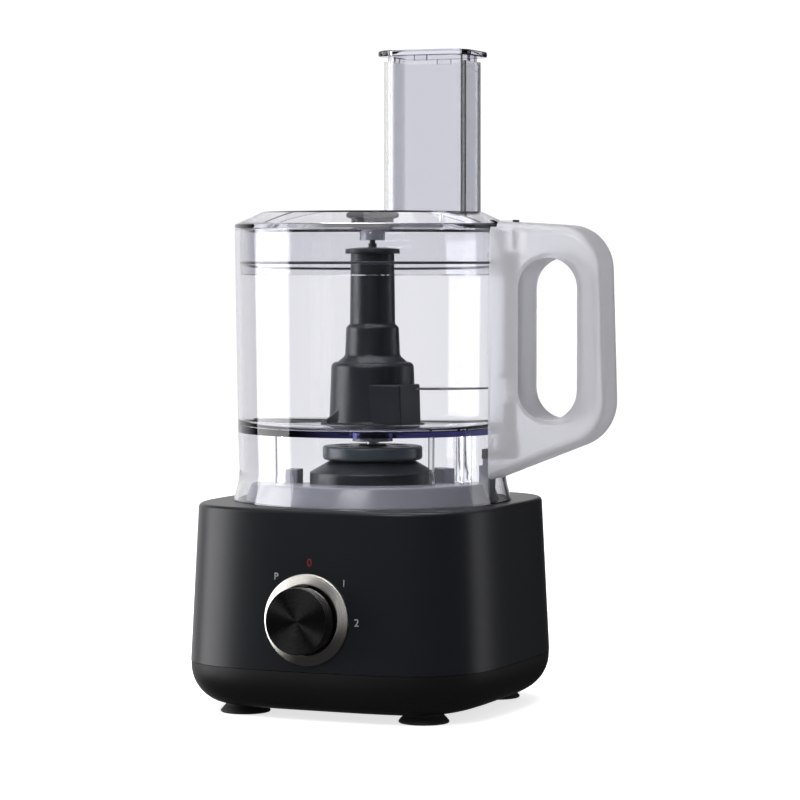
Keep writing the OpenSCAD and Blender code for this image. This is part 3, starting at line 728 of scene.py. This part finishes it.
wedge.rotation_euler = (0, 0, math.radians(-3))
combine(hub, settle(wedge), "UNION")
smooth(hub)
hub_grey = moulded_plastic("hub_grey", (0.006, 0.008, 0.012), 0.34, spread=0.06, depth=0.000002)
hub.data.materials.append(hub_grey)
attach(hub, "tool")
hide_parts("tool_hub")
dress(hub_grey, "tool_pin")
dress(seat_grey, "lid_bearing")

# Blades ---------------------------------------------------------------------------------------
# Two sickle blades of stamped stainless steel, ground thin along the leading edge.
dress(bright_metal("ground_steel", (0.55, 0.56, 0.57), 0.2, scale=260), "upper_blade",
      "lower_blade")

# Lid ------------------------------------------------------------------------------------------
# Clear like the bowl: a flat top with a bevelled edge, a skirt that dips into the bowl, the
# feed chute, the cup of the middle bearing, and the finger that reaches into the handle.
chute_at, chute_x, chute_y = 40.0, 53.0, 41.0
chute_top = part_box("feed_chute")[1].z * 1000


def rounded_block(name, x, y, low, high, corner):
    """An upright block round the chute's axis with rounded corners, in millimetres."""
    piece = add_block(name, (chute_at - x / 2, -y / 2, low), (chute_at + x / 2, y / 2, high))
    pick(piece, "EDGE", is_upright)
    bpy.ops.mesh.bevel(offset=corner / 1000, segments=14, affect="EDGES")
    return settle(piece)


lid = turned("lid_skin", [(0, 303.5), (66.8, 303.5)] + arc(67.4, 302.4, 1.1, 85, 50, 4)
             + [(83.2, 296.5)] + arc(83.6, 295.2, 1.0, 50, 0, 4) + [(84.6, 293.4), (81.2, 293.4)]
             + [(81.2, 273.4), (80.3, 273.3), (80.3, 271.7), (81.2, 271.6), (81.0, 265.4)]
             + [(80.6, 265), (79.2, 265), (78.8, 292), (67.6, 301.1), (0, 301.1)], steps=224)
combine(lid, rounded_block("chute", chute_x, chute_y, 296, chute_top, 9.5), "UNION")
combine(lid, rounded_block("way", chute_x - 4, chute_y - 4, 280, 410, 7.5), "DIFFERENCE")
cup = turned("cup", [(5.2, 286.8), (8, 286.8), (8, 302), (5.2, 302)], steps=64)
combine(lid, cup, "UNION")
finger = add_block("finger", (85.2, -5.5, 280.6), (94.3, 5.5, 297))
tab = add_block("tab", (77, -5.5, 294.4), (94.3, 5.5, 298.2))
combine(finger, tab, "UNION")
combine(lid, finger, "UNION")
smooth(lid, 14)
clear_lid = clear_plastic("clear_lid", (0.980, 0.982, 0.99), 0.015, 20)
lid.data.materials.append(clear_lid)
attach(lid, "lid")
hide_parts("lid", "feed_chute")
lid.visible_shadow = False

# Lid seal -------------------------------------------------------------------------------------
# A thin dark ring of rubber in a groove round the lid's skirt.
seal_at = (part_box("lid_seal")[0].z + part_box("lid_seal")[1].z) * 500
seal = turned("lid_seal_skin", [(80.4, seal_at - 0.7)] + arc(81.0, seal_at, 0.7, -90, 90, 8)
              + [(80.4, seal_at + 0.7)], steps=224)
smooth(seal)
seal.data.materials.append(moulded_plastic("seal_rubber", (0.020, 0.020, 0.030), 0.45))
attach(seal, "lid_seal")
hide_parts("lid_seal")

# Pusher ---------------------------------------------------------------------------------------
# A clear cup that fills the chute, with a wide flange that rests on the chute by four stops.
pusher_low, pusher_high = (corner.z * 1000 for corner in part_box("pusher"))
pusher = rounded_block("pusher_skin", chute_x - 4.8, chute_y - 4.8, pusher_low, 398, 7.1)
flange = rounded_block("flange", 60, 49, 397, pusher_high, 13)
pick(flange, "EDGE", lambda e: not is_upright(e))
bpy.ops.mesh.bevel(offset=0.0012, segments=4, affect="EDGES")
combine(pusher, settle(flange), "UNION")
for side in (-1, 1):
    combine(pusher, add_block("stop", (chute_at - 4, side * 17 - 3, 394.1),
                              (chute_at + 4, side * 17 + 3, 398)), "UNION")
    combine(pusher, add_block("stop", (chute_at + side * 23 - 3, -4, 394.1),
                              (chute_at + side * 23 + 3, 4, 398)), "UNION")
combine(pusher, rounded_block("cup", chute_x - 8.4, chute_y - 8.4, pusher_low + 2, 410, 5.3),
        "DIFFERENCE")
smooth(pusher, 14)
clear_pusher = clear_plastic("clear_pusher", (0.965, 0.967, 0.985), 0.015, 40)
pusher.data.materials.append(clear_pusher)
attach(pusher, "pusher")
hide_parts("pusher")
pusher.visible_shadow = False

# Floor ----------------------------------------------------------------------------------------
# A white table top, lit until it is as bright as the wall behind it.
bpy.ops.object.select_all(action="DESELECT")
bpy.ops.mesh.primitive_plane_add(size=30)
floor = bpy.context.object
floor.name = "floor"
white_floor, nodes, links, shader = new_material("white_floor", (0.85, 0.85, 0.85), 0.9)
shader.inputs["Emission Color"].default_value = (1, 1, 1, 1)
shader.inputs["Emission Strength"].default_value = 0.72
floor.data.materials.append(white_floor)
floor.visible_glossy = False
floor.visible_transmission = False

# Room and light -------------------------------------------------------------------------------
# White walls, darker to both sides, so that clear edges read as dark lines. The walls are seen
# only straight through the clear pieces. What shines back from surfaces is a dim room with a
# bright patch behind to the left, and four soft boxes: left, right, above the front, overhead.
bpy.context.scene.view_settings.view_transform = "Standard"
world = bpy.data.worlds.new("studio")
bpy.context.scene.world = world
world.use_nodes = True
nodes, links = world.node_tree.nodes, world.node_tree.links
sky = nodes["Background"]
look = nodes.new("ShaderNodeTexCoord")


def toward(direction, low, high, at_low, at_high):
    """A value that changes smoothly as the view turns towards a direction."""
    dot = nodes.new("ShaderNodeVectorMath")
    dot.operation = "DOT_PRODUCT"
    dot.inputs[1].default_value = direction.normalized()
    links.new(look.outputs["Generated"], dot.inputs[0])
    ramp = nodes.new("ShaderNodeMapRange")
    ramp.interpolation_type = "SMOOTHSTEP"
    ramp.inputs["From Min"].default_value = low
    ramp.inputs["From Max"].default_value = high
    ramp.inputs["To Min"].default_value = at_low
    ramp.inputs["To Max"].default_value = at_high
    links.new(dot.outputs["Value"], ramp.inputs["Value"])
    return ramp.outputs["Result"]


def blend(kind, a, b):
    node = nodes.new("ShaderNodeMath")
    node.operation = kind
    links.new(a, node.inputs[0])
    links.new(b, node.inputs[1])
    return node.outputs[0]


def choose(factor, a, b):
    node = nodes.new("ShaderNodeMix")
    node.data_type = "RGBA"
    links.new(factor, node.inputs["Factor"])
    for socket, value in ((node.inputs["A"], a), (node.inputs["B"], b)):
        if isinstance(value, tuple):
            socket.default_value = (*value, 1)
        else:
            links.new(value, socket)
    return node.outputs["Result"]


wall_right = toward(sideways, 0.40, 0.80, 0.0, 1.0)
wall_left = toward(-sideways, 0.40, 0.80, 0.0, 1.0)
wall = choose(blend("ADD", wall_left, wall_right), (1.0, 1.0, 1.0), (0.20, 0.20, 0.27))
patch = toward(forward * 0.9 - sideways * 0.35 + Vector((0, 0, 0.1)), 0.70, 0.97, 0.0, 0.9)
ceiling = toward(Vector((0, 0, 1)), 0.2, 0.9, 0.03, 0.25)
room = blend("MAXIMUM", patch, ceiling)
path = nodes.new("ShaderNodeLightPath")
indirect = choose(path.outputs["Is Diffuse Ray"], room, (0.40, 0.40, 0.41))
turned_back = blend("ADD", path.outputs["Diffuse Depth"], path.outputs["Glossy Depth"])
straight = blend("GREATER_THAN", path.outputs["Is Transmission Ray"], turned_back)
through = choose(straight, indirect, wall)
shown = choose(path.outputs["Is Camera Ray"], through, (1.0, 1.0, 1.0))
links.new(shown, sky.inputs["Color"])
sky.inputs["Strength"].default_value = 1.05


def soft_box(name, place, aim_at, width, height, power):
    bpy.ops.object.light_add(type="AREA", location=place)
    light = bpy.context.object
    light.name = name
    light.data.shape = "RECTANGLE"
    light.data.size = width
    light.data.size_y = height
    light.data.energy = power
    light.rotation_euler = (Vector(aim_at) - Vector(place)).to_track_quat("-Z", "Y").to_euler()
    light.visible_camera = False


soft_box("soft_box_left", forward * 0.1 - sideways * 1.9 + Vector((0, 0, 0.3)), (0, 0, 0.1),
         1.4, 1.6, 30)
soft_box("soft_box_right", forward * 0.5 + sideways * 2.0 + Vector((0, 0, 0.25)), (0, 0, 0.15),
         0.8, 1.1, 3)
soft_box("soft_box_front", forward * -1.5 - sideways * 0.5 + Vector((0, 0, 1.35)), (0, 0, 0.15),
         0.8, 0.45, 12)
soft_box("soft_box_top", (0, 0.1, 2.2), (0, 0, 0.1), 1.8, 1.2, 28)
